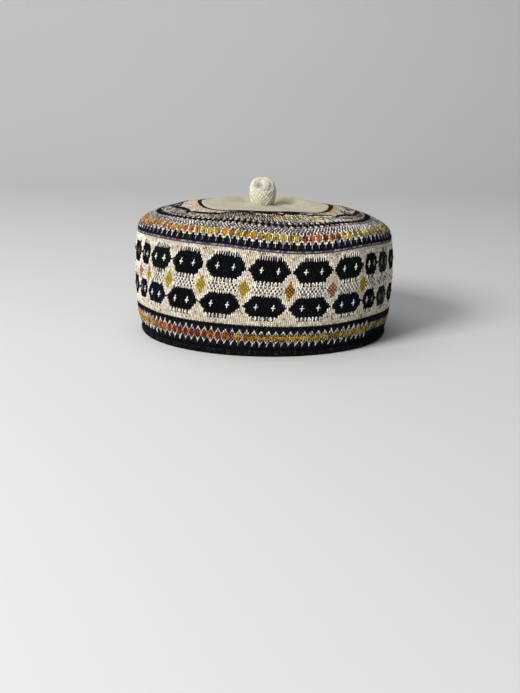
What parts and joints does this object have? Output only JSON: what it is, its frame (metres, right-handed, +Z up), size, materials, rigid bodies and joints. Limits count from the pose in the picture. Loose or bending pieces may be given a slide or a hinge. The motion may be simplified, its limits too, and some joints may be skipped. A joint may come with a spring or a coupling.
{
  "type": "hausa cap",
  "caption": "Oval brimless cloth cap: an upright embroidered side band, a rounded embroidered crown, a plain round panel on top and a cloth knob.",
  "frame": {"origin": "middle of the rim, on the surface the cap stands on", "axes": "+Z up to the knob, +Y towards the nape, +X towards the wearer's left ear"},
  "size_m": [0.1726, 0.2022, 0.1224],
  "materials": {
    "black_thread": "matt black cotton thread, slightly fuzzy",
    "embroidered_cotton": "dense hand embroidery in beige, black, white, yellow and red thread",
    "lavender_thread": "dull lavender cotton thread",
    "plain_cotton": "plain woven cream cotton, matt",
    "knob_cotton": "rolled cream cotton with a soft sheen"
  },
  "bodies": {
    "root": {"rim_edging": "black_thread", "side_band": "embroidered_cotton", "seam_piping": "lavender_thread", "crown": "embroidered_cotton", "crown_ring": "black_thread", "panel_piping": "black_thread", "crown_panel": "plain_cotton", "crown_knob": "knob_cotton"}
  },
  "joints": []
}
